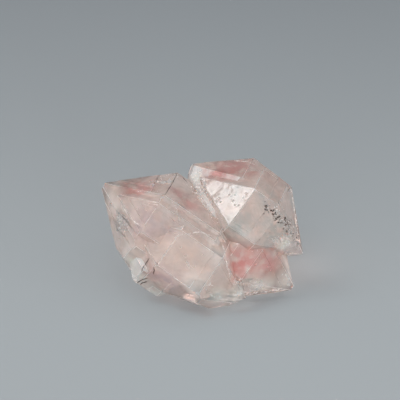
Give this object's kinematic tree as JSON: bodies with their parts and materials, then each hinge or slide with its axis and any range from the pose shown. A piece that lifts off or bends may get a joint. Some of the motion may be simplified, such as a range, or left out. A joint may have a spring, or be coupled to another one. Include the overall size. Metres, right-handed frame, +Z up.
{
  "type": "quartz crystal cluster",
  "caption": "Small cluster of clear doubly terminated quartz crystals grown side by side and into one another, resting on a flat crystal face.",
  "frame": {"origin": "middle of the bounding box, at the level of the crystal face the cluster rests on", "axes": "+Z up, +X to the right along the cluster's length, -Y toward the front"},
  "size_m": [0.0296, 0.0214, 0.0187],
  "materials": {
    "quartz": "clear crystal"
  },
  "bodies": {
    "root": {"quartz_cluster": "quartz"}
  },
  "joints": []
}
